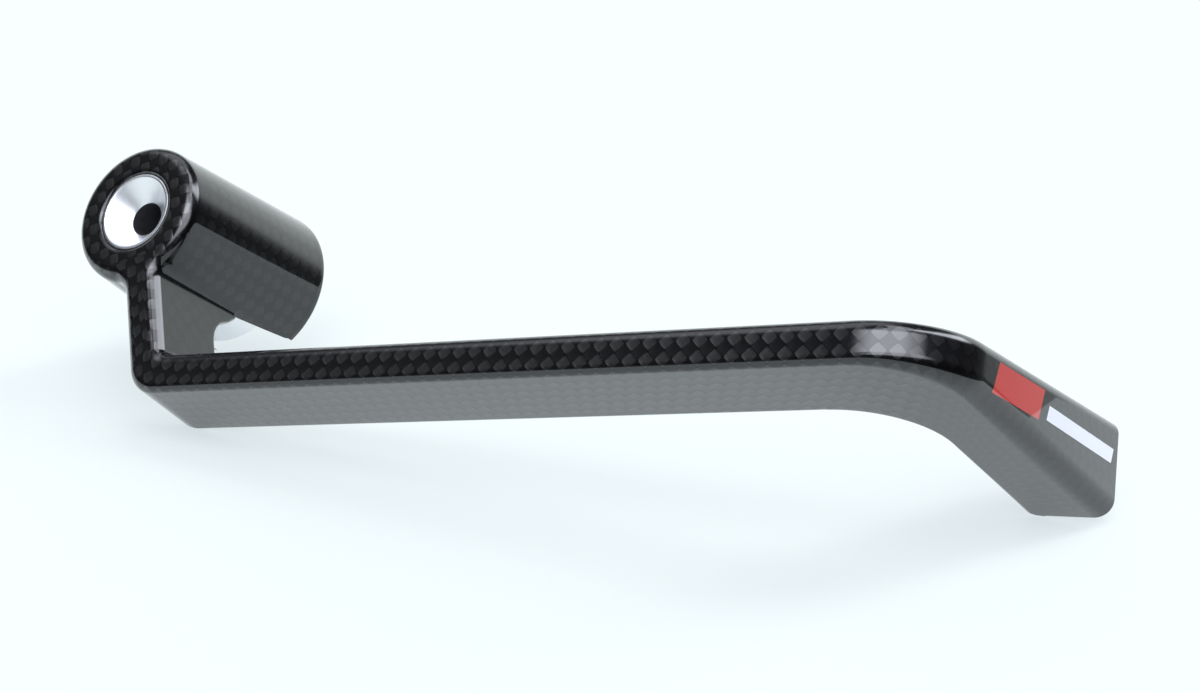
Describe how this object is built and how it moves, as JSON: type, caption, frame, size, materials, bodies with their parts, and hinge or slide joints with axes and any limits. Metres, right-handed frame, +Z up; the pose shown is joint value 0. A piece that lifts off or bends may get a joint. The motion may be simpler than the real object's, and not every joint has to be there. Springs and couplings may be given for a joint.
{
  "type": "brake lever guard",
  "caption": "Motorcycle brake lever guard: a carbon arm on a bar-end boss, with a bent tip and a countersunk aluminium insert.",
  "frame": {"origin": "centre of the bounding box at its bottom, on the surface the guard rests on", "axes": "+X along the arm from the boss to the tip, +Y towards the open back, +Z up; the guard lies on its corner, its tip and the boss's rim"},
  "size_m": [0.1902, 0.061, 0.0458],
  "materials": {
    "carbon": "clear-coated plain weave carbon fibre",
    "metal": "fine turned"
  },
  "bodies": {
    "root": {"guard_shell": "carbon", "bar_end_insert": "metal"}
  },
  "joints": []
}
